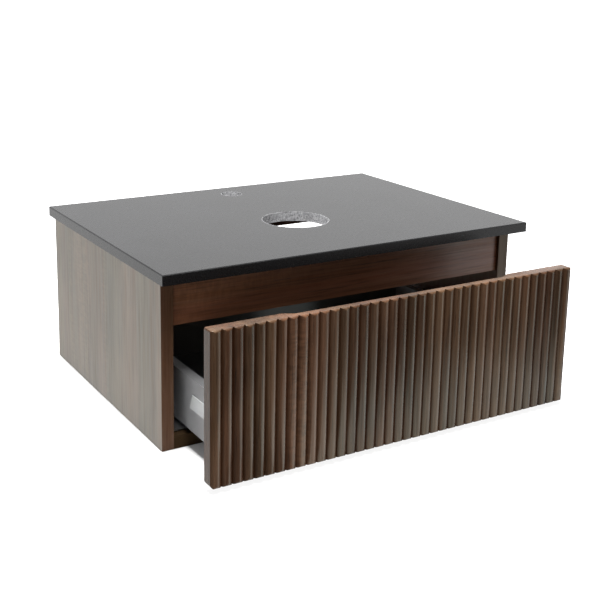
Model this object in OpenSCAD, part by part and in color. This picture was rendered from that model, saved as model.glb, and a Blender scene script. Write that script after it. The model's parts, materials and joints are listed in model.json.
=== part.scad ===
// Wall-hung vanity cabinet with a stone top and one fluted drawer.
// Origin: middle of the cabinet's width, on the wall plane, at the cabinet's underside.
// X runs across the cabinet, the front faces -Y, and +Z is up. Millimetres.

/* [Cabinet] */
// Outer width of the cabinet
cabinet_w = 600; // [500:10:900]
// Depth from the wall to the front edges of the boards
cabinet_d = 412; // [400:1:460]
// Height of the side panels
cabinet_h = 242; // [235:1:300]
// Thickness of the cabinet boards
board_t = 18; // [16:1:19]
// Height of the front rail under the top
front_rail_h = 67; // [60:1:70]
// How far the front rail sits behind the board edges
rail_recess = 5; // [0:1:10]
// Height of the back rail under the top
back_rail_h = 62; // [50:1:62]

/* [Stone top] */
// Thickness of the stone slab
top_t = 15; // [12:1:30]
// How far the slab stands past each side
top_side_overhang = 10; // [0:1:20]
// How far the slab stands past the board edges in front
top_front_overhang = 28; // [0:1:30]
// Width of the ground chamfer along the top edges
top_chamfer = 1.2; // [0.5:0.1:3]
// Diameter of the drain cut-out
drain_d = 104; // [60:1:120]
// Distance from the wall to the middle of the drain cut-out
drain_from_wall = 260; // [200:1:280]
// Diameter of the tap hole
tap_d = 35; // [28:1:38]
// Distance from the wall to the middle of the tap hole
tap_from_wall = 50; // [45:1:80]

/* [Drawer front] */
// Height of the drawer front
front_h = 208; // [190:1:212]
// Height of the front's lower edge above the cabinet's underside
front_z = 7; // [2:1:10]
// Gap between the front's end and the cabinet's outer face
front_side_gap = 3; // [1:0.5:4]
// Thickness of the front behind the flutes
front_base_t = 16; // [15:0.5:19]
// Number of convex flutes
rib_count = 38; // [20:1:44]
// How far each flute stands proud
rib_h = 5; // [3:0.5:7]
// Radius of the lower corners of the front
front_low_r = 6; // [1:1:8]
// Radius of the upper corners of the front
front_high_r = 3; // [1:1:8]
// Full-depth length of the finger grip in the top edge
grip_w = 346; // [100:1:420]
// Length of the grip's ramp at each end
grip_ramp = 15; // [5:1:30]
// Depth of the grip, cut into the back of the front
grip_depth = 8; // [4:0.5:10]
// Height of the grip
grip_h = 28; // [15:1:40]

/* [Drawer box] */
// Gap between the cabinet boards and the drawer front's back face, as stored
drawer_open = 120; // [2:1:300]
// Length of the drawer box
box_len = 350; // [300:10:350]
// Height of the drawer box's lower edge
box_z = 27; // [26:1:30]
// Height of the drawer's metal sides
box_h = 76; // [70:1:100]
// Thickness of the double-skinned metal sides
side_t = 14; // [14:0.5:16]
// Room for the runner between a side panel and the drawer side
runner_gap = 20; // [18:0.5:22]
// Thickness of the drawer's bottom and back boards
box_board_t = 16; // [15:1:16]

/* [Hidden] */
$fn = 48;

eps = 0.5;                                  // how far a cutter runs past a face
fit_gap = 0.1;                              // radial gap round hidden fittings
half_w = cabinet_w / 2;
inner_x = half_w - board_t;                 // inner face of a side panel
slab_z = cabinet_h;                         // underside of the stone
slab_top = cabinet_h + top_t;
slab_half_w = half_w + top_side_overhang;
slab_d = cabinet_d + top_front_overhang;
front_rail_z = cabinet_h - front_rail_h;
front_rail_y = -cabinet_d + rail_recess;    // front face of the front rail
back_rail_z = cabinet_h - back_rail_h;

// cabinet fittings
dowel_d = 8;
dowel_in_side = 12;
dowel_in_board = 18;
cam_d = 15;
cam_depth = 12.5;
cam_from_end = 24;
bolt_d = 7;
bolt_in_side = 10;
bolt_cam_gap = 0.3;
// [y, z] of each dowel and bolt at a side panel
dowel_yz = [
    [-30, board_t / 2], [-cabinet_d / 2, board_t / 2], [30 - cabinet_d, board_t / 2],
    [front_rail_y + board_t / 2, front_rail_z + 14], [front_rail_y + board_t / 2, cabinet_h - 14],
    [-board_t / 2, back_rail_z + 14], [-board_t / 2, cabinet_h - 14]
];
bolt_yz_bottom = [[-85, board_t / 2], [85 - cabinet_d, board_t / 2]];
bolt_yz_front = [front_rail_y + board_t / 2, front_rail_z + front_rail_h / 2];
bolt_yz_back = [-board_t / 2, back_rail_z + back_rail_h / 2];
bolt_yz = concat(bolt_yz_bottom, [bolt_yz_front, bolt_yz_back]);

// wall hangers and wall-screw holes
wall_hole_d = 8;
wall_hole_spacing = 400;
hanger_w = 30;
hanger_d = 56;
hanger_h = 64;
hanger_wall = 3;
hanger_z = back_rail_z - 4 - hanger_h;
hanger_y = -2;                              // back face of the hanger housing
hook_t = 5;
hook_x = inner_x - 18;                      // inner face of the hook plate
adjuster_d = 5;
adjuster_in = 8;                            // length behind the housing's wall
adjuster_head_d = 9;
adjuster_z = [hanger_z + 18, hanger_z + 44];
hanger_fix_d = 4;
hanger_fix_in = 12;                         // length in the side panel
hanger_fix_head_d = 8;
hanger_head_h = 2;
hanger_fix_y = [-16, -42];
hanger_fix_z = hanger_z + 55;

// runners: fixed profile, middle profile and drawer profile
steel_t = 1.5;
thin_t = 1.2;
runner_z = board_t + 2;
runner_len = 350;
runner_back_y = -50;
runner_web_h = 38;
tab_len = 22;                               // upright tab at the runner's front end
tab_h = 58;
runner_screw_d = 3.6;
runner_screw_in = 12;                       // length in the side panel
runner_head_d = 7;
runner_head_h = 1.6;
runner_screw_yz = [
    [runner_back_y - 50, runner_z + 24], [runner_back_y - 190, runner_z + 24],
    [runner_back_y - runner_len + 11, runner_z + 24], [runner_back_y - runner_len + 11, runner_z + 50]
];
side_outer_x = inner_x - runner_gap;        // outer face of the drawer side
side_inner_x = side_outer_x - side_t;
hollow_out_x = side_outer_x - steel_t;      // hollow between the side's two skins
hollow_in_x = side_inner_x + steel_t;
upright_x = (hollow_in_x + hollow_out_x) / 2 - steel_t / 2;
upright_top = runner_z + 18;
mid_gap = 1.1;                              // play between the nested profiles
mid_in_x = upright_x - mid_gap - thin_t;
mid_out_x = upright_x + steel_t + mid_gap + thin_t;
mid_z = runner_z + steel_t + 1.5;
mid_top = upright_top + 2.6;
mid_len = 330;
drawer_runner_z = mid_z + 3;
drawer_runner_top = mid_top + 2.6;

// drawer, at its stored opening
closed_gap = 2;                             // gap left when the drawer is shut
drawer_y = -cabinet_d - drawer_open;        // back face of the drawer front
drawer_travel = drawer_open - closed_gap;   // how far the stored pose stands open
front_w = cabinet_w - 2 * front_side_gap;
valley_y = drawer_y - front_base_t;
rib_pitch = front_w / rib_count;
rib_r = (rib_pitch * rib_pitch / 4 + rib_h * rib_h) / (2 * rib_h);
rib_centre_y = valley_y - rib_h + rib_r;
box_back_y = drawer_y + box_len;
mid_back_y = runner_back_y - 15 - drawer_travel / 2;
flange_w = 12;
flange_t = 1.2;
board_top = box_z + box_board_t;
back_board_h = box_h - box_board_t - 3;
bracket_len = 50;
bracket_z = board_top + 3;
bracket_h = 50;
front_screw_d = 4;
front_screw_z = [bracket_z + 8, bracket_z + bracket_h - 8];
front_screw_in = 12;                        // length in the front
front_screw_behind = 20;                    // length behind the front
bottom_screw_d = 3.5;
bottom_screw_in = 11;
bottom_head_d = 7;
bottom_head_h = 1.4;
bottom_screw_y = [drawer_y + 24, drawer_y + box_len / 2, box_back_y - 24];
bumper_d = 8;
bumper_t = 1.5;
bumper_x = half_w - board_t / 2;
bumper_z = [front_z + 12, front_rail_z + 20];

walnut = [0.36, 0.25, 0.19];
walnut_light = [0.52, 0.42, 0.34];
steel = [0.72, 0.73, 0.74];
zinc = [0.62, 0.63, 0.65];
anthracite = [0.16, 0.16, 0.17];

// ---- helpers ----

module both_sides() {
    children();
    mirror([1, 0, 0]) children();
}

// box from its lowest to its highest corner
module span(low, high) {
    translate(low) cube(high - low);
}

module rod_x(x_low, x_high, y, z, d) {
    translate([x_low, y, z]) rotate([0, 90, 0]) cylinder(d = d, h = x_high - x_low);
}

module rod_y(y_low, y_high, x, z, d) {
    translate([x, y_low, z]) rotate([-90, 0, 0]) cylinder(d = d, h = y_high - y_low);
}

module rod_z(z_low, z_high, x, y, d) {
    translate([x, y, z_low]) cylinder(d = d, h = z_high - z_low);
}

// ---- fittings of the right-hand side, also used as cutters with a gap ----

module dowel_set(gap = 0) {
    for (p = dowel_yz)
        rod_x(inner_x - dowel_in_board - gap, inner_x + dowel_in_side + gap, p[0], p[1], dowel_d + 2 * gap);
}

module bolt_set(gap = 0) {
    for (p = bolt_yz)
        rod_x(inner_x - cam_from_end + cam_d / 2 + bolt_cam_gap, inner_x + bolt_in_side + gap,
              p[0], p[1], bolt_d + 2 * gap);
}

module cam_set(gap = 0) {
    cam_x = inner_x - cam_from_end;
    cut_d = cam_d + 2 * gap;
    depth = cam_depth + gap;
    out = gap > 0 ? eps : 0;
    for (p = bolt_yz_bottom) rod_z(-out, depth, cam_x, p[0], cut_d);
    rail_inner_y = front_rail_y + board_t;
    rod_y(rail_inner_y - depth, rail_inner_y + out, cam_x, bolt_yz_front[1], cut_d);
    rod_y(-board_t - out, -board_t + depth, cam_x, bolt_yz_back[1], cut_d);
}

module runner_screw_set(gap = 0) {
    for (p = runner_screw_yz) {
        rod_x(inner_x - steel_t, inner_x + runner_screw_in + gap, p[0], p[1],
              runner_screw_d + 2 * gap);
        if (gap == 0)
            rod_x(inner_x - steel_t - runner_head_h, inner_x - steel_t, p[0], p[1], runner_head_d);
    }
}

module hanger_fix_set(gap = 0) {
    for (y = hanger_fix_y) {
        rod_x(inner_x - hanger_wall, inner_x + hanger_fix_in + gap, y, hanger_fix_z,
              hanger_fix_d + 2 * gap);
        if (gap == 0)
            rod_x(inner_x - hanger_wall - hanger_head_h, inner_x - hanger_wall, y, hanger_fix_z,
                  hanger_fix_head_d);
    }
}

module adjuster_set(gap = 0) {
    front_y = hanger_y - hanger_d;
    screw_x = hook_x + hook_t / 2;
    for (z = adjuster_z) {
        rod_y(front_y, front_y + hanger_wall + adjuster_in, screw_x, z, adjuster_d + 2 * gap);
        if (gap == 0)
            rod_y(front_y - hanger_head_h, front_y, screw_x, z, adjuster_head_d);
    }
}

module front_screw_set(gap = 0) {
    screw_x = (hollow_in_x + hollow_out_x) / 2;
    for (z = front_screw_z)
        rod_y(drawer_y - front_screw_in - gap, drawer_y + front_screw_behind + gap, screw_x, z,
              front_screw_d + 2 * gap);
}

module bottom_screw_set(gap = 0) {
    screw_x = side_inner_x - flange_w / 2;
    head_z = box_z - flange_t;
    for (y = bottom_screw_y) {
        rod_z(head_z, box_z + bottom_screw_in + gap, screw_x, y, bottom_screw_d + 2 * gap);
        if (gap == 0) rod_z(head_z - bottom_head_h, head_z, screw_x, y, bottom_head_d);
    }
}

// ---- cabinet ----

module side_panel() {
    difference() {
        span([inner_x, -cabinet_d, 0], [half_w, 0, cabinet_h]);
        dowel_set(fit_gap);
        bolt_set(fit_gap);
        runner_screw_set(fit_gap);
        hanger_fix_set(fit_gap);
    }
}

module side_panel_left() {
    color(walnut_light) mirror([1, 0, 0]) side_panel();
}

module side_panel_right() {
    color(walnut_light) side_panel();
}

// cuts the joints' pockets at both ends of a board between the side panels
module between_sides() {
    difference() {
        children();
        both_sides() {
            dowel_set(fit_gap);
            bolt_set(fit_gap);
            cam_set(fit_gap);
        }
    }
}

module bottom_panel() {
    color(walnut) between_sides()
        span([-inner_x, -cabinet_d, 0], [inner_x, 0, board_t]);
}

module front_rail() {
    color(walnut) between_sides()
        span([-inner_x, front_rail_y, front_rail_z], [inner_x, front_rail_y + board_t, cabinet_h]);
}

module back_rail() {
    color(walnut) difference() {
        between_sides() span([-inner_x, -board_t, back_rail_z], [inner_x, 0, cabinet_h]);
        both_sides()
            rod_y(-board_t - eps, eps, wall_hole_spacing / 2, bolt_yz_back[1], wall_hole_d);
    }
}

// long prism that takes a 45 degree chamfer off an edge along X
module chamfer_cut(length) {
    c = top_chamfer;
    rotate([90, 0, 90]) translate([0, 0, -length / 2])
        linear_extrude(length) polygon([[-eps, -c - eps], [-eps, eps], [c + eps, eps]]);
}

module stone_top() {
    color([0.09, 0.09, 0.10]) difference() {
        span([-slab_half_w, -slab_d, slab_z], [slab_half_w, 0, slab_top]);
        rod_z(slab_z - eps, slab_top + eps, 0, -drain_from_wall, drain_d);
        rod_z(slab_z - eps, slab_top + eps, 0, -tap_from_wall, tap_d);
        translate([0, -slab_d, slab_top]) chamfer_cut(2 * slab_half_w + 2);
        both_sides()
            translate([slab_half_w, -slab_d / 2, slab_top]) rotate([0, 0, 90]) chamfer_cut(slab_d + 2);
    }
}

module dowels() {
    color([0.80, 0.66, 0.45]) both_sides() dowel_set();
}

module cam_locks() {
    color(zinc) both_sides() cam_set();
}

module cam_bolts() {
    color(steel) both_sides() bolt_set();
}

// ---- wall hangers ----

module hanger_housings() {
    front_y = hanger_y - hanger_d;
    color([0.90, 0.90, 0.88]) both_sides() difference() {
        span([inner_x - hanger_w, front_y, hanger_z], [inner_x, hanger_y, hanger_z + hanger_h]);
        span([inner_x - hanger_w + hanger_wall, front_y + hanger_wall, hanger_z + hanger_wall],
             [inner_x - hanger_wall, hanger_y + eps, hanger_z + hanger_h - hanger_wall]);
        adjuster_set(fit_gap);
        hanger_fix_set(fit_gap);
    }
}

// side outline of the hook, [y, z] from the housing's lower back corner
module hanger_hooks() {
    hook_outline = [[-44, 10], [-12, 10], [-12, 34], [-6, 34], [-6, 26], [-1, 26], [-1, 48], [-44, 48]];
    color(steel) both_sides()
        translate([hook_x, hanger_y, hanger_z]) rotate([90, 0, 90])
            linear_extrude(hook_t) polygon(hook_outline);
}

module hanger_screws() {
    color(zinc) both_sides() {
        adjuster_set();
        hanger_fix_set();
    }
}

// ---- runners ----

module runner_fixed() {
    front_y = runner_back_y - runner_len;
    web_x = inner_x - steel_t;
    difference() {
        union() {
            span([web_x, front_y, runner_z], [inner_x, runner_back_y, runner_z + runner_web_h]);
            span([web_x, front_y, runner_z], [inner_x, front_y + tab_len, runner_z + tab_h]);
            span([upright_x, front_y, runner_z], [inner_x, runner_back_y, runner_z + steel_t]);
            span([upright_x, front_y, runner_z], [upright_x + steel_t, runner_back_y, upright_top]);
        }
        runner_screw_set(fit_gap);
    }
}

module runner_fixed_left() {
    color(steel) mirror([1, 0, 0]) runner_fixed();
}

module runner_fixed_right() {
    color(steel) runner_fixed();
}

module runner_screws() {
    color(zinc) both_sides() runner_screw_set();
}

// closed plastic unit on the runner's shelf that holds the closing spring and the damper
module soft_close_units() {
    unit_x = side_outer_x + 3;
    unit_back_y = runner_back_y - 60;
    unit_len = 50;
    unit_z = runner_z + steel_t;
    unit_h = 15;
    color(anthracite) both_sides()
        span([unit_x, unit_back_y - unit_len, unit_z],
             [inner_x - steel_t, unit_back_y, unit_z + unit_h]);
}

// inverted channel open at the bottom, along Y
module channel(x_in, x_out, z_low, z_top, y_back, length, wall) {
    difference() {
        span([x_in, y_back - length, z_low], [x_out, y_back, z_top]);
        span([x_in + wall, y_back - length - eps, z_low - eps],
             [x_out - wall, y_back + eps, z_top - wall]);
    }
}

module runner_mid() {
    channel(mid_in_x, mid_out_x, mid_z, mid_top, mid_back_y, mid_len, thin_t);
}

module runner_mid_left() {
    color(steel) mirror([1, 0, 0]) runner_mid();
}

module runner_mid_right() {
    color(steel) runner_mid();
}

module drawer_runner() {
    channel(hollow_in_x, hollow_out_x, drawer_runner_z, drawer_runner_top, box_back_y, box_len, thin_t);
}

module drawer_runner_left() {
    color(steel) mirror([1, 0, 0]) drawer_runner();
}

module drawer_runner_right() {
    color(steel) drawer_runner();
}

// ---- drawer ----

// plan outline of the fluted front: the flutes meet each other along the valley line
module front_outline() {
    flute_root = 1;                         // the plain board starts this far behind the valleys
    intersection() {
        translate([-front_w / 2, valley_y - rib_h - 1])
            square([front_w, front_base_t + rib_h + 1]);
        union() {
            translate([-front_w / 2 - 1, valley_y + flute_root])
                square([front_w + 2, front_base_t - flute_root]);
            for (i = [0 : rib_count - 1])
                translate([-front_w / 2 + (i + 0.5) * rib_pitch, rib_centre_y]) circle(r = rib_r);
        }
    }
}

// rounds one corner of the front: x and z point into the corner
module corner_cut(x, z, r) {
    deep = front_base_t + rib_h + 2;
    translate([x > 0 ? x - r : x + r, valley_y - rib_h - 1, z]) rotate([-90, 0, 0])
        difference() {
            translate([x > 0 ? 0 : -r - 1, -r - 1, 0]) cube([r + 1, r + 1, deep]);
            cylinder(r = r, h = deep);
        }
}

module grip_cut() {
    half = grip_w / 2;
    translate([0, 0, front_z + front_h - grip_h]) linear_extrude(grip_h + eps)
        polygon([
            [-half - grip_ramp, drawer_y + eps], [-half - grip_ramp, drawer_y],
            [-half, drawer_y - grip_depth], [half, drawer_y - grip_depth],
            [half + grip_ramp, drawer_y], [half + grip_ramp, drawer_y + eps]
        ]);
}

module drawer_front() {
    color(walnut) difference() {
        translate([0, 0, front_z]) linear_extrude(front_h) front_outline();
        grip_cut();
        both_sides() {
            translate([0, 0, front_z + front_h]) corner_cut(front_w / 2, -front_high_r, front_high_r);
            translate([0, 0, front_z + front_low_r]) mirror([0, 0, 1])
                corner_cut(front_w / 2, 0, front_low_r);
            front_screw_set(fit_gap);
        }
    }
}

// double-skinned metal side with a flange under the bottom board
module drawer_side() {
    top_z = box_z + box_h;
    difference() {
        union() {
            channel(side_inner_x, side_outer_x, box_z, top_z, box_back_y, box_len, steel_t);
            span([side_inner_x - flange_w, drawer_y, box_z - flange_t],
                 [side_inner_x + steel_t, box_back_y, box_z]);
        }
        bottom_screw_set(fit_gap);
    }
}

module drawer_side_left() {
    color([0.60, 0.61, 0.63]) mirror([1, 0, 0]) drawer_side();
}

module drawer_side_right() {
    color([0.60, 0.61, 0.63]) drawer_side();
}

module drawer_bottom() {
    color(anthracite) difference() {
        span([-side_inner_x, drawer_y, box_z], [side_inner_x, box_back_y, board_top]);
        both_sides() bottom_screw_set(fit_gap);
    }
}

module drawer_back() {
    color(anthracite)
        span([-side_inner_x, box_back_y - box_board_t, board_top],
             [side_inner_x, box_back_y, board_top + back_board_h]);
}

module front_brackets() {
    color(zinc) both_sides() difference() {
        span([hollow_in_x, drawer_y, bracket_z],
             [hollow_out_x, drawer_y + bracket_len, bracket_z + bracket_h]);
        front_screw_set(fit_gap);
    }
}

module front_screws() {
    color(steel) both_sides() front_screw_set();
}

module back_clips() {
    clip_len = 30;
    color(anthracite) both_sides()
        span([hollow_in_x, box_back_y - clip_len, bracket_z],
             [hollow_out_x, box_back_y, bracket_z + bracket_h]);
}

module bottom_screws() {
    color(zinc) both_sides() bottom_screw_set();
}

// slanted cover caps on the outer faces of the drawer sides, [y, z] from the front's back face
module side_caps() {
    cap_t = 1;
    cap_outline = [[58, 81], [102, 81], [110, 60], [58, 60]];
    color([0.93, 0.93, 0.92]) both_sides()
        translate([side_outer_x, drawer_y, 0]) rotate([90, 0, 90])
            linear_extrude(cap_t) polygon(cap_outline);
}

module bumpers() {
    color([0.85, 0.85, 0.85]) both_sides()
        for (z = bumper_z)
            rod_y(drawer_y, drawer_y + bumper_t, bumper_x, z, bumper_d);
}

side_panel_left();
side_panel_right();
bottom_panel();
front_rail();
back_rail();
stone_top();
dowels();
cam_locks();
cam_bolts();
hanger_housings();
hanger_hooks();
hanger_screws();
runner_fixed_left();
runner_fixed_right();
runner_screws();
soft_close_units();
runner_mid_left();
runner_mid_right();
drawer_front();
drawer_side_left();
drawer_side_right();
drawer_bottom();
drawer_back();
drawer_runner_left();
drawer_runner_right();
front_brackets();
front_screws();
back_clips();
bottom_screws();
side_caps();
bumpers();
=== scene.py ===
"""Looks of a wall-hung vanity cabinet: black stone top, walnut boards, one fluted drawer."""

import json
import math

import bmesh
import bpy
from mathutils import Matrix, Vector


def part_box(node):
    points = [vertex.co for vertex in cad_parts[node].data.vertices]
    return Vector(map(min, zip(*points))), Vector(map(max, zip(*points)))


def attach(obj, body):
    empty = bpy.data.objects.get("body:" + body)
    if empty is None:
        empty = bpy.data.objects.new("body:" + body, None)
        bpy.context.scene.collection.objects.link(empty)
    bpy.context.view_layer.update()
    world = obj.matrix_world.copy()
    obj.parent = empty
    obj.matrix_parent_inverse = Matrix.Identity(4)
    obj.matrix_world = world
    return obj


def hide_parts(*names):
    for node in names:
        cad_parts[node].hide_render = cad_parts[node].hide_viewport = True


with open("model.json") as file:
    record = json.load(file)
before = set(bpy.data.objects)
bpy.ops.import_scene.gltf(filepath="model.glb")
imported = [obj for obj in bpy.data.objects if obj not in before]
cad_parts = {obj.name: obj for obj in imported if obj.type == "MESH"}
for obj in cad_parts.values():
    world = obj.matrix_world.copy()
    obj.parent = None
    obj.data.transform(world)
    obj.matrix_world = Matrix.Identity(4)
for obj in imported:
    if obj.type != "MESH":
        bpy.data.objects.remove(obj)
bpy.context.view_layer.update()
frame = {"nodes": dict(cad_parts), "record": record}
NODES = frame["nodes"]
MM = 0.001
X, Y, Z = range(3)
WHITE = (1, 1, 1, 1)

# ---------------------------------------------------------------- camera

CAMERA_AT = (-0.8486, -1.6247, 0.6477)
CAMERA_AZIMUTH = 29.35          # degrees to the right of straight into the wall
CAMERA_ELEVATION = 12.64        # degrees that the camera looks down
CAMERA_ROLL = 0.51              # degrees
CAMERA_LENS = 63.7
CAMERA_SENSOR = 36.0
CAMERA_SHIFT = (0.083, -0.167)


def make_camera():
    data = bpy.data.cameras.new("camera")
    data.sensor_width = CAMERA_SENSOR
    data.lens = CAMERA_LENS
    data.shift_x, data.shift_y = CAMERA_SHIFT
    data.clip_start = 0.05
    data.clip_end = 50.0
    camera = bpy.data.objects.new("camera", data)
    bpy.context.collection.objects.link(camera)
    az, el = math.radians(CAMERA_AZIMUTH), math.radians(CAMERA_ELEVATION)
    ahead = Vector((math.sin(az) * math.cos(el), math.cos(az) * math.cos(el), -math.sin(el)))
    turn = ahead.to_track_quat("-Z", "Y").to_matrix().to_4x4()
    roll = Matrix.Rotation(math.radians(CAMERA_ROLL), 4, "Z")
    camera.matrix_world = Matrix.Translation(CAMERA_AT) @ turn @ roll
    bpy.context.scene.camera = camera


# ---------------------------------------------------------------- node helpers

MIX_A, MIX_B, MIX_RESULT = 6, 7, 2      # the colour sockets of a Mix node


class Graph:
    """A short way to write a node tree: most methods add a node and return its output."""

    def __init__(self, tree):
        self.tree = tree

    def add(self, kind, **settings):
        node = self.tree.nodes.new(kind)
        for name, value in settings.items():
            setattr(node, name, value)
        return node

    def plug(self, socket, value):
        if isinstance(value, bpy.types.NodeSocket):
            self.tree.links.new(value, socket)
        elif value is not None:
            socket.default_value = value

    def math(self, operation, a, b=None):
        node = self.add("ShaderNodeMath", operation=operation)
        self.plug(node.inputs[0], a)
        self.plug(node.inputs[1], b)
        return node.outputs[0]

    def split(self, vector):
        node = self.add("ShaderNodeSeparateXYZ")
        self.plug(node.inputs[0], vector)
        return tuple(node.outputs)

    def length(self, vector):
        node = self.add("ShaderNodeVectorMath", operation="LENGTH")
        self.plug(node.inputs[0], vector)
        return node.outputs["Value"]

    def object_coords(self, scale=(1, 1, 1), shift=(0, 0, 0)):
        coords = self.add("ShaderNodeTexCoord")
        mapping = self.add("ShaderNodeMapping")
        self.plug(mapping.inputs["Vector"], coords.outputs["Object"])
        mapping.inputs["Scale"].default_value = scale
        mapping.inputs["Location"].default_value = shift
        return mapping.outputs["Vector"]

    def noise(self, vector, scale, detail=3.0, roughness=0.5, distortion=0.0):
        node = self.add("ShaderNodeTexNoise")
        self.plug(node.inputs["Vector"], vector)
        node.inputs["Scale"].default_value = scale
        node.inputs["Detail"].default_value = detail
        node.inputs["Roughness"].default_value = roughness
        node.inputs["Distortion"].default_value = distortion
        return node.outputs["Fac"]

    def ramp(self, value, stops):
        node = self.add("ShaderNodeValToRGB")
        elements = node.color_ramp.elements
        while len(elements) < len(stops):
            elements.new(0.5)
        for element, (place, colour) in zip(elements, stops):
            element.position = place
            element.color = (*colour, 1)
        self.plug(node.inputs["Fac"], value)
        return node.outputs["Color"]

    def range(self, value, low, high, to_low, to_high, smooth=False):
        node = self.add("ShaderNodeMapRange")
        if smooth:
            node.interpolation_type = "SMOOTHSTEP"
        self.plug(node.inputs["Value"], value)
        node.inputs["From Min"].default_value = low
        node.inputs["From Max"].default_value = high
        node.inputs["To Min"].default_value = to_low
        node.inputs["To Max"].default_value = to_high
        return node.outputs["Result"]

    def fade(self, value, low, high, level=1.0):
        return self.range(value, low, high, 0.0, level, smooth=True)

    def mix(self, factor, a, b, blend="MIX"):
        node = self.add("ShaderNodeMix", data_type="RGBA", blend_type=blend)
        self.plug(node.inputs["Factor"], factor)
        self.plug(node.inputs[MIX_A], a)
        self.plug(node.inputs[MIX_B], b)
        return node.outputs[MIX_RESULT]

    def bump(self, height, strength, distance):
        node = self.add("ShaderNodeBump")
        self.plug(node.inputs["Height"], height)
        node.inputs["Strength"].default_value = strength
        node.inputs["Distance"].default_value = distance
        return node.outputs["Normal"]


def new_material(name):
    material = bpy.data.materials.new(name)
    material.use_nodes = True
    shader = material.node_tree.nodes["Principled BSDF"]
    return material, Graph(material.node_tree), shader


# ---------------------------------------------------------------- materials

# Pattern scales are repeats per metre. A range of a pattern is part of its span from 0 to 1.
FIBRE_STRETCH = 0.035
CURL_STRETCH = 0.35
FINE_BUMP = 0.0001              # metres of relief on metal, paint, laminate and plastic
GRAIN_BUMP = 0.0002             # metres of relief on wood and stone


def grain_scale(grain, along=FIBRE_STRETCH, across=1.0):
    """Scales of a pattern along the grain axis and across it."""
    return tuple(along if axis == grain else across for axis in "XYZ")


def facing(g, axis):
    """How squarely a face looks along one axis, either way: 0 to 1."""
    return g.math("ABSOLUTE", g.split(g.add("ShaderNodeTexCoord").outputs["Normal"])[axis])


def inward(g):
    """1 on faces that look from either side towards the middle of the cabinet, 0 elsewhere."""
    coords = g.add("ShaderNodeTexCoord")
    normal = g.split(coords.outputs["Normal"])
    place = g.split(coords.outputs["Object"])
    return g.math("LESS_THAN", g.math("MULTIPLY", normal[X], place[X]), -0.1)


def walnut(name, grain, tones, rough, seed=0.0, figure=1.0, specular=0.5, gloss_tint=(1, 1, 1),
           banding_and_shade=None, banding_and_shade_tint=(1.0, 0.8, 0.7)):
    """Wood: wide bands, curly figure, fine streaks and short dark pores along one axis.

    The darkening function gives how far, from 0 to 1, a face turns to dark matt walnut in its tint's cast:
    edge banding on some faces, painted shade on others.
    """
    material, g, shader = new_material(name)
    shift = (seed, seed * 1.7, seed * 0.6)
    fibres = g.object_coords(grain_scale(grain), shift)
    bands = g.noise(fibres, 11.0, 3.0, 0.55, 0.6)
    streaks = g.noise(fibres, 95.0, 5.0, 0.65, 0.3)
    fine = g.noise(fibres, 420.0, 3.0, 0.65)
    curl = g.noise(g.object_coords(grain_scale(grain, CURL_STRETCH), shift), 9.0, 2.0, 0.5, 1.8)
    tone = 0.0
    for pattern, share in ((bands, 0.38), (streaks, 0.26), (fine, 0.20), (curl, 0.16 * figure)):
        tone = g.math("ADD", tone, g.math("MULTIPLY", pattern, share))
    dark, mid, light = tones
    colour = g.ramp(g.range(tone, 0.38, 0.62, 0.0, 1.0), [(0.0, dark), (0.45, mid), (1.0, light)])
    cast = g.ramp(g.noise(fibres, 23.0, 1.0), [(0.40, (1.05, 0.97, 0.95)), (0.60, (0.96, 1.02, 0.97))])
    colour = g.mix(1.0, colour, cast, "MULTIPLY")
    across = g.object_coords(grain_scale(grain, 1.0, 0.3))
    ripple = g.ramp(g.noise(across, 240.0, 1.0), [(0.38, (0.78, 0.76, 0.74)), (0.62, (1.28, 1.26, 1.22))])
    curly = g.range(g.noise(fibres, 13.0, 1.0), 0.55, 0.66, 0.0, 0.65 * figure)
    colour = g.mix(curly, colour, ripple, "MULTIPLY")
    pores = g.ramp(fine, [(0.30, (0.45, 0.42, 0.40)), (0.42, (1, 1, 1))])
    colour = g.mix(0.6, colour, pores, "MULTIPLY")
    sheen = g.range(g.noise(fibres, 150.0, 4.0, 0.7), 0.3, 0.7, specular * 0.55, specular * 1.45)
    # Edge banding and painted shade: the chosen faces turn to dark matt walnut with less sheen.
    if banding_and_shade:
        amount = banding_and_shade(g)
        matt = tuple(tone * tint for tone, tint in zip(dark, banding_and_shade_tint))
        colour = g.mix(amount, colour, (*matt, 1))
        sheen = g.math("MULTIPLY", sheen, g.math("SUBTRACT", 1.0, amount))
    g.plug(shader.inputs["Base Color"], colour)
    g.plug(shader.inputs["Specular IOR Level"], sheen)
    g.plug(shader.inputs["Roughness"], g.range(streaks, 0.3, 0.7, rough - 0.05, rough + 0.07))
    relief = g.math("ADD", g.math("MULTIPLY", fine, 0.7), g.math("MULTIPLY", streaks, 0.3))
    g.plug(shader.inputs["Normal"], g.bump(relief, 0.25, GRAIN_BUMP))
    shader.inputs["Specular Tint"].default_value = (*gloss_tint, 1)
    return material


def banding_and_inner_shade(g):
    """The edge banding on the front and back edges, and painted shade on the inner face."""
    banding = g.range(facing(g, Y), 0.6, 0.8, 0.0, 0.6)
    # Inner faces: painted shade inside the cabinet.
    return g.math("MAXIMUM", banding, g.math("MULTIPLY", inward(g), 0.85))


def low_board_shade(g):
    """Painted shade on the bottom panel, full below 2 cm and gone above 5 cm, where the drawer shades it.
    """
    return g.range(g.split(g.object_coords())[Z], 0.02, 0.05, 1.0, 0.0)


def flank_shade(g):
    """Painted shade on the ends of the drawer front and the steep flanks of its ribs, the faces turned
    sideways.
    """
    return g.range(facing(g, X), 0.45, 0.95, 0.0, 0.65)


DRAIN_AT, DRAIN_RADIUS = (0.0, -0.260), 0.0523      # the radii reach just past the bare walls
TAP_AT, TAP_RADIUS = (0.0, -0.050), 0.0178


def inside_hole(g, centre, radius):
    """1 within a vertical hole of the slab, 0 elsewhere."""
    away = g.object_coords(scale=(1, 1, 0), shift=(-centre[X], -centre[Y], 0))
    return g.math("LESS_THAN", g.length(away), radius)


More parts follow.
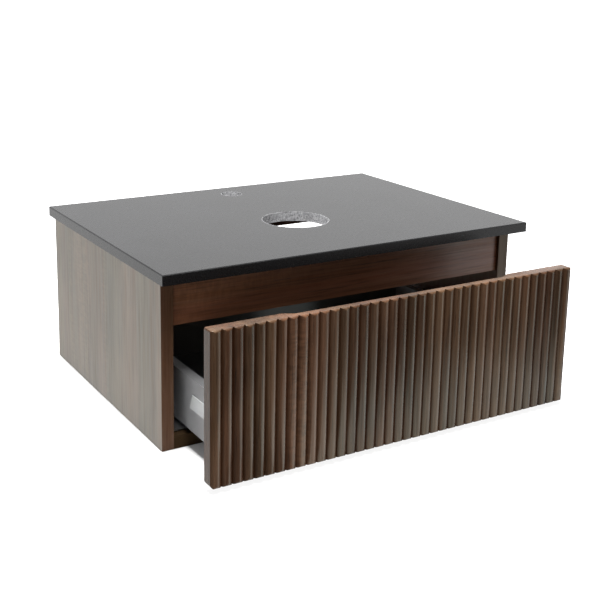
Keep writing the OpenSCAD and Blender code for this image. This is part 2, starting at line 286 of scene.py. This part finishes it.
def black_stone():
    """Honed black granite, near-black with fine grains; the sawn walls of its holes stay raw and grey."""
    material, g, shader = new_material("black_stone")
    place = g.object_coords()
    cells = g.add("ShaderNodeTexVoronoi", feature="F1")
    g.plug(cells.inputs["Vector"], place)
    cells.inputs["Scale"].default_value = 620.0
    speck = g.ramp(g.noise(place, 900.0, 2.0, 0.6),
                   [(0.0, (0.003, 0.003, 0.0035)), (0.60, (0.006, 0.006, 0.0065)),
                    (0.75, (0.012, 0.012, 0.0125)), (0.85, (0.03, 0.03, 0.03))])
    cloud = g.ramp(g.noise(place, 14.0, 3.0), [(0.3, (0.8, 0.8, 0.8)), (0.7, (1.1, 1.1, 1.12))])
    polished = g.mix(1.0, speck, cloud, "MULTIPLY")
    sawn = g.ramp(g.noise(place, 380.0, 4.0, 0.7),
                  [(0.36, (0.13, 0.13, 0.135)), (0.5, (0.32, 0.32, 0.33)), (0.66, (0.52, 0.52, 0.53))])
    raw = g.math("MAXIMUM", inside_hole(g, DRAIN_AT, DRAIN_RADIUS), inside_hole(g, TAP_AT, TAP_RADIUS))
    g.plug(shader.inputs["Base Color"], g.mix(raw, polished, sawn))
    honed = g.range(g.noise(place, 300.0, 3.0), 0.3, 0.7, 0.25, 0.32)
    g.plug(shader.inputs["Roughness"], g.math("MAXIMUM", honed, g.math("MULTIPLY", raw, 0.8)))
    g.plug(shader.inputs["Normal"], g.bump(cells.outputs["Distance"], 0.008, GRAIN_BUMP))
    g.plug(shader.inputs["Specular IOR Level"], g.range(facing(g, Z), 0.5, 0.9, 0.26, 0.42))
    return material


def metal(name, colour, rough, grain=None):
    """Plated, rolled or cast metal with a mottle, or with lines along one axis."""
    material, g, shader = new_material(name)
    if grain:
        mottle = g.noise(g.object_coords(grain_scale(grain)), 260.0, 4.0, 0.6)
    else:
        mottle = g.noise(g.object_coords(), 90.0, 4.0, 0.6)
    dark = tuple(c * 0.78 for c in colour)
    g.plug(shader.inputs["Base Color"], g.ramp(mottle, [(0.3, dark), (0.7, colour)]))
    g.plug(shader.inputs["Roughness"], g.range(mottle, 0.3, 0.7, rough - 0.06, rough + 0.08))
    g.plug(shader.inputs["Normal"], g.bump(mottle, 0.12, FINE_BUMP))
    shader.inputs["Metallic"].default_value = 1.0
    return material


def enamel(name, colour, rough, metallic):
    """Baked paint with a faint orange-peel surface; its level faces carry painted shade, a deeper tone."""
    material, g, shader = new_material(name)
    place = g.object_coords()
    peel = g.noise(place, 700.0, 2.0)
    tint = tuple(c * 0.93 for c in colour)
    paint = g.ramp(g.noise(place, 35.0), [(0.35, tint), (0.65, colour)])
    # Painted shade: level faces, such as the drawer sides' top edges under the cabinet, are darker.
    top_shade = tuple(c * 0.45 for c in colour)
    g.plug(shader.inputs["Base Color"], g.mix(g.range(facing(g, Z), 0.6, 0.9, 0.0, 1.0), paint, (*top_shade, 1)))
    g.plug(shader.inputs["Roughness"], g.range(peel, 0.3, 0.7, rough - 0.01, rough + 0.01))
    g.plug(shader.inputs["Normal"], g.bump(peel, 0.008, FINE_BUMP))
    shader.inputs["Metallic"].default_value = metallic
    return material


def laminate(name, colour, rough):
    """Laminated board with a fine pearl-grain emboss."""
    material, g, shader = new_material(name)
    grain = g.noise(g.object_coords(), 1400.0, 2.0, 0.7)
    tint = tuple(c * 0.7 for c in colour)
    g.plug(shader.inputs["Base Color"], g.ramp(grain, [(0.3, tint), (0.7, colour)]))
    g.plug(shader.inputs["Roughness"], g.range(grain, 0.3, 0.7, rough - 0.06, rough + 0.06))
    g.plug(shader.inputs["Normal"], g.bump(grain, 0.2, FINE_BUMP))
    return material


def plastic(name, colour, rough, soft=0.0):
    """Moulded plastic or rubber with a spark-eroded texture."""
    material, g, shader = new_material(name)
    place = g.object_coords()
    spark = g.noise(place, 1100.0, 3.0, 0.6)
    tint = tuple(c * 0.9 for c in colour)
    g.plug(shader.inputs["Base Color"], g.ramp(g.noise(place, 60.0), [(0.3, tint), (0.7, colour)]))
    g.plug(shader.inputs["Roughness"], g.range(spark, 0.3, 0.7, rough - 0.05, rough + 0.05))
    g.plug(shader.inputs["Normal"], g.bump(spark, 0.12, FINE_BUMP))
    shader.inputs["Subsurface Weight"].default_value = soft
    return material


# darkest, middle and lightest tone
FLUTE_TONES = ((0.018, 0.0075, 0.0035), (0.047, 0.021, 0.010), (0.092, 0.044, 0.023))
BOARD_TONES = ((0.079, 0.031, 0.016), (0.150, 0.062, 0.033), (0.225, 0.106, 0.062))
SIDE_TONES = ((0.052, 0.034, 0.019), (0.098, 0.066, 0.042), (0.150, 0.104, 0.070))
BEECH_TONES = ((0.42, 0.28, 0.16), (0.55, 0.39, 0.24), (0.66, 0.50, 0.33))


def make_materials():
    """The materials by the name of their slot in the record."""
    return {
        # Side panels: edge banding on their edges, painted shade on their inner faces.
        "walnut_side": walnut("walnut_side", "Z", SIDE_TONES, 0.38, seed=3.1, figure=0.7, specular=0.62,
                              gloss_tint=(0.92, 1.0, 0.90), banding_and_shade=banding_and_inner_shade,
                              banding_and_shade_tint=(1.1, 0.55, 0.40)),
        # Boards: the bottom panel takes painted shade low down.
        "walnut_board": walnut("walnut_board", "X", BOARD_TONES, 0.34, seed=5.3, specular=0.40,
                               banding_and_shade=low_board_shade, banding_and_shade_tint=(0.36, 0.57, 0.57)),
        # Fluted front: painted shade on its ends and rib flanks.
        "walnut_fluted": walnut("walnut_fluted", "Z", FLUTE_TONES, 0.26, seed=1.2, figure=1.3,
                                specular=0.45, gloss_tint=(0.93, 1.0, 0.86), banding_and_shade=flank_shade),
        "black_stone": black_stone(),
        "beech": walnut("beech", "X", BEECH_TONES, 0.6),
        "zinc": metal("zinc", (0.60, 0.61, 0.63), 0.36),
        "steel": metal("steel", (0.66, 0.67, 0.68), 0.25),
        "white_plastic": plastic("white_plastic", (0.46, 0.46, 0.455), 0.42, soft=0.05),
        "dark_plastic": plastic("dark_plastic", (0.03, 0.03, 0.032), 0.5),
        "runner_steel": metal("runner_steel", (0.58, 0.59, 0.60), 0.3, grain="Y"),
        "grey_enamel": enamel("grey_enamel", (0.27, 0.27, 0.275), 0.30, metallic=0.15),
        "anthracite_board": laminate("anthracite_board", (0.048, 0.052, 0.050), 0.5),
        "clear_rubber": plastic("clear_rubber", (0.62, 0.62, 0.60), 0.35, soft=0.3),
    }


# ---------------------------------------------------------------- CAD nodes

EDGE_BEVELS_MM = {
    "side_panel_left": 0.5, "side_panel_right": 0.5, "bottom_panel": 0.5, "front_rail": 0.5,
    "back_rail": 0.5, "stone_top": 0.35, "hanger_housings": 0.4, "soft_close_units": 0.8,
    "drawer_side_left": 0.45, "drawer_side_right": 0.45, "drawer_bottom": 0.4, "drawer_back": 0.5,
    "runner_fixed_left": 0.3, "runner_fixed_right": 0.3, "front_brackets": 0.5, "back_clips": 0.6,
    "side_caps": 0.3, "bumpers": 0.3,
}
BEVEL_SEGMENTS = 2
BEVEL_ANGLE = math.radians(40)
SHARP_ANGLE = math.radians(32)


def dress_cad_nodes(materials):
    """Gives each CAD node its slot's material, smooth shading and softly broken edges."""
    slots = {s["node"]: s["material_slot"] for s in frame["record"]["subparts"]}
    for name, node in NODES.items():
        node.data.materials.clear()
        node.data.materials.append(materials[slots[name]])
        node.data.shade_smooth()
        node.data.set_sharp_from_angle(angle=SHARP_ANGLE)
        width = EDGE_BEVELS_MM.get(name)
        if width:
            bevel = node.modifiers.new("edges", "BEVEL")
            bevel.width = width * MM
            bevel.segments = BEVEL_SEGMENTS
            bevel.limit_method = "ANGLE"
            bevel.angle_limit = BEVEL_ANGLE
            bevel.harden_normals = True


# ---------------------------------------------------------------- fluted drawer front

FLUTES = 38
FLUTE_STEPS = 12                # faces across one flute
FLUTE_PROUD = 5 * MM
ROUNDED = 4 * MM                # radius along the upper and lower front edges
GRIP_LENGTH = 346 * MM
GRIP_RAMP = 15 * MM
GRIP_DEEP = 8 * MM
GRIP_HIGH = 28 * MM
LOW_CORNER = 6 * MM             # radii of the front's four corners
HIGH_CORNER = 3 * MM
EASED = 0.8 * MM                # how far the lower and upper edges are broken
EASED_MIDDLE = (0.3, 0.45)      # height and inset halfway round such an edge, as shares of EASED
RIB_INSET = 0.3                 # how much of an inset the ribs' faces take
RISES_MM = (0.8, 1.4, 2.1, 3.0, 4.0, 5.0, 6.0)      # outlines above the lower edge
DROPS_MM = (4.0, 3.0, 2.1, 1.4, 0.8)                # outlines below the upper edge
FRONT_SHARP_ANGLE = math.radians(20)
WELD = 0.01 * MM


def arc_drop(distance, radius):
    """How far a round corner has come in at a distance from its end."""
    gap = max(0.0, radius - distance)
    return radius - math.sqrt(max(0.0, radius * radius - gap * gap))


def fluted_front(material):
    """The drawer front as one closed mesh of level outlines, with eased edges and a finger grip."""
    low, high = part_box("drawer_front")
    half = (high.x - low.x) / 2
    back = high.y
    crest = low.y
    valley = crest + FLUTE_PROUD
    pitch = 2 * half / FLUTES
    radius = (pitch * pitch / 4 + FLUTE_PROUD ** 2) / (2 * FLUTE_PROUD)
    centre = crest + radius
    front = []
    reach = math.asin(pitch / 2 / radius)
    for flute in range(FLUTES):
        middle = -half + (flute + 0.5) * pitch
        for step in range(FLUTE_STEPS):
            angle = -reach + 2 * reach * step / FLUTE_STEPS
            front.append((middle + radius * math.sin(angle), centre - radius * math.cos(angle)))
    front.append((half, valley))

    floor_end = GRIP_LENGTH / 2
    ramp_end = floor_end + GRIP_RAMP

    def outline(z, inset, gripped):
        """Points round the front at one height, drawn in by inset."""
        corner = max(arc_drop(z - low.z, LOW_CORNER), arc_drop(high.z - z, HIGH_CORNER))
        limit = half - corner - inset
        foremost = crest + arc_drop(min(z - low.z, high.z - z), ROUNDED)
        points = [(max(-limit, min(limit, x)), max(y, foremost) + inset * RIB_INSET) for x, y in front]
        top_shade = GRIP_DEEP if gripped else 0.0
        half_back = [(limit, 0.0), (ramp_end, 0.0), (floor_end, top_shade)]
        other_half = [(-x, cut) for x, cut in reversed(half_back)]
        points += [(x, back - inset - cut) for x, cut in half_back + other_half]
        return [(x, y, z) for x, y in points]

    grip_z = high.z - GRIP_HIGH
    eased_z, eased_inset = (EASED * share for share in EASED_MIDDLE)
    rings = [outline(low.z, EASED, False), outline(low.z + eased_z, eased_inset, False)]
    rings += [outline(low.z + rise * MM, 0.0, False) for rise in RISES_MM]
    rings += [outline((low.z + grip_z) / 2, 0.0, False)]
    rings += [outline(grip_z, 0.0, False), outline(grip_z, 0.0, True)]
    rings += [outline(high.z - drop * MM, 0.0, True) for drop in DROPS_MM]
    rings += [outline(high.z - eased_z, eased_inset, True), outline(high.z, EASED, True)]

    mesh = bmesh.new()
    levels = [[mesh.verts.new(p) for p in ring] for ring in rings]
    for lower, upper in zip(levels, levels[1:]):
        count = len(lower)
        for i in range(count):
            j = (i + 1) % count
            mesh.faces.new((lower[i], lower[j], upper[j], upper[i]))
    mesh.faces.new(list(reversed(levels[0])))
    mesh.faces.new(levels[-1])
    bmesh.ops.remove_doubles(mesh, verts=mesh.verts, dist=WELD)
    caps = [f for f in mesh.faces if len(f.verts) > 4]
    bmesh.ops.triangulate(mesh, faces=caps)
    bmesh.ops.recalc_face_normals(mesh, faces=mesh.faces)
    data = bpy.data.meshes.new("fluted_front")
    mesh.to_mesh(data)
    mesh.free()
    data.shade_smooth()
    data.set_sharp_from_angle(angle=FRONT_SHARP_ANGLE)
    data.materials.append(material)
    piece = bpy.data.objects.new("fluted_front", data)
    bpy.context.collection.objects.link(piece)
    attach(piece, "drawer")
    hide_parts("drawer_front")


# ---------------------------------------------------------------- floor and light

FLOOR_SIZE = 30
FLOOR_Z = -0.5 * MM             # just under the cabinet, so that no faces coincide
# edges of the floor's glow, each from none to full, in metres
GLOW_AHEAD_Y = (-0.552, -0.575)     # in front of the drawer front at rest
GLOW_UNDER_Y = (-0.490, -0.520)     # and under it
GLOW_UNDER_X = (-0.315, -0.297)     # from its left end on
GLOW_FAR = (0.6, 2.0)               # and all round at this distance
CARD_AT = (0.12, -0.76, 0.001)
CARD_SIZE = (0.58, 0.40)
CARD_FADE = (-0.5, 0.4)             # from no glow to full, in card depths from its middle
CARD_GLOW = 1.9


def make_floor():
    """White paper that glows from under the open drawer's front forwards, and far away."""
    bpy.ops.mesh.primitive_plane_add(size=FLOOR_SIZE, location=(0, 0, FLOOR_Z))
    floor = bpy.context.object
    floor.name = "floor"
    material, g, shader = new_material("floor_paper")
    place = g.object_coords()
    x, y, _ = g.split(place)
    under = g.math("MULTIPLY", g.fade(y, *GLOW_UNDER_Y), g.fade(x, *GLOW_UNDER_X))
    ahead = g.math("MAXIMUM", g.fade(y, *GLOW_AHEAD_Y), under)
    glow = g.math("MAXIMUM", ahead, g.fade(g.length(place), *GLOW_FAR))
    paper = g.ramp(g.noise(place, 3.0, 2.0), [(0.3, (0.66, 0.66, 0.66)), (0.7, (0.68, 0.68, 0.68))])
    g.plug(shader.inputs["Base Color"], g.mix(ahead, paper, (0.12, 0.12, 0.12, 1)))
    shader.inputs["Roughness"].default_value = 0.9
    shader.inputs["Emission Color"].default_value = WHITE
    g.plug(shader.inputs["Emission Strength"], g.range(glow, 0.0, 1.0, 0.04, 0.90))
    floor.data.materials.append(material)
    floor.visible_glossy = False


def make_bounce_card():
    """A glowing card on the floor in front of the drawer; only the glossy surfaces see it."""
    bpy.ops.mesh.primitive_plane_add(size=1, location=CARD_AT)
    card = bpy.context.object
    card.name = "bounce_card"
    card.scale = (*CARD_SIZE, 1)
    material, g, shader = new_material("bounce_card")
    shader.inputs["Base Color"].default_value = (0, 0, 0, 1)
    shader.inputs["Emission Color"].default_value = WHITE
    depth = g.split(g.object_coords())[Y]
    g.plug(shader.inputs["Emission Strength"], g.fade(depth, *CARD_FADE, CARD_GLOW))
    card.data.materials.append(material)
    card.visible_camera = card.visible_diffuse = card.visible_shadow = False


def area_light(name, place, aim, size, power):
    data = bpy.data.lights.new(name, "AREA")
    data.shape = "RECTANGLE"
    data.size, data.size_y = size
    data.energy = power
    light = bpy.data.objects.new(name, data)
    bpy.context.collection.objects.link(light)
    light.location = place
    toward = Vector(aim) - Vector(place)
    light.rotation_euler = toward.to_track_quat("-Z", "Y").to_euler()
    light.visible_camera = False


SEEN_WHITE = 1.05               # what the camera sees of the world
STRIP_TOWARD = (0.777, -0.629)  # level direction of a bright strip that only gloss shows
STRIP_EDGE = (0.945, 0.988)     # cosines from that direction, from none to full
STRIP_GLOW = 1.9


def studio_level(g, x, y, z):
    """Brightness by direction: bright behind and low on the left, dim in front at mid height."""
    behind = g.fade(y, 0.15, 0.70)
    left_and_low = g.math("MULTIPLY", g.fade(x, 0.1, -0.6), g.fade(z, 0.15, -0.25))
    back_level = g.math("ADD", g.math("ADD", 0.95, g.math("MULTIPLY", x, 0.3)),
                        g.math("MULTIPLY", left_and_low, 1.2))
    low_front = g.range(z, -0.45, -0.70, 0.04, 0.8, smooth=True)
    high_front = g.fade(z, 0.15, 0.85, 0.55)
    front_level = g.math("ADD", low_front, high_front)
    return g.math("ADD", g.math("MULTIPLY", behind, back_level),
                  g.math("MULTIPLY", g.math("SUBTRACT", 1.0, behind), front_level))


def strip_level(g, x, y, z):
    """Brightness of a tall strip to the right and in front, which ends above z 0.5."""
    along = g.math("ADD", g.math("MULTIPLY", x, STRIP_TOWARD[X]),
                   g.math("MULTIPLY", y, STRIP_TOWARD[Y]))
    level_part = g.math("SUBTRACT", 1.0, g.math("MULTIPLY", z, z))
    level_length = g.math("SQRT", g.math("MAXIMUM", level_part, 0.05))
    return g.math("MULTIPLY", g.range(z, 0.5, 0.3, 0.0, 1.0),
                  g.fade(g.math("DIVIDE", along, level_length), *STRIP_EDGE, STRIP_GLOW))


def make_light():
    """A white studio round the object, with one soft light above it."""
    world = bpy.data.worlds.new("studio")
    bpy.context.scene.world = world
    world.use_nodes = True
    g = Graph(world.node_tree)
    direction = g.split(g.add("ShaderNodeTexCoord").outputs["Generated"])
    ray = g.add("ShaderNodeLightPath")
    gloss = g.math("MULTIPLY", strip_level(g, *direction), ray.outputs["Is Glossy Ray"])
    level = g.math("ADD", studio_level(g, *direction), gloss)
    seen = ray.outputs["Is Camera Ray"]
    level = g.math("ADD", g.math("MULTIPLY", seen, SEEN_WHITE),
                   g.math("MULTIPLY", g.math("SUBTRACT", 1.0, seen), level))
    shader = world.node_tree.nodes["Background"]
    g.plug(shader.inputs["Color"], WHITE)
    g.plug(shader.inputs["Strength"], level)
    area_light("key_above", place=(-0.3, -0.33, 2.4), aim=(-0.1, -0.33, 0.1), size=(2.0, 0.40), power=245)
    bpy.context.scene.view_settings.view_transform = "Standard"


make_camera()
MATERIALS = make_materials()
dress_cad_nodes(MATERIALS)
fluted_front(MATERIALS["walnut_fluted"])
make_floor()
make_bounce_card()
make_light()
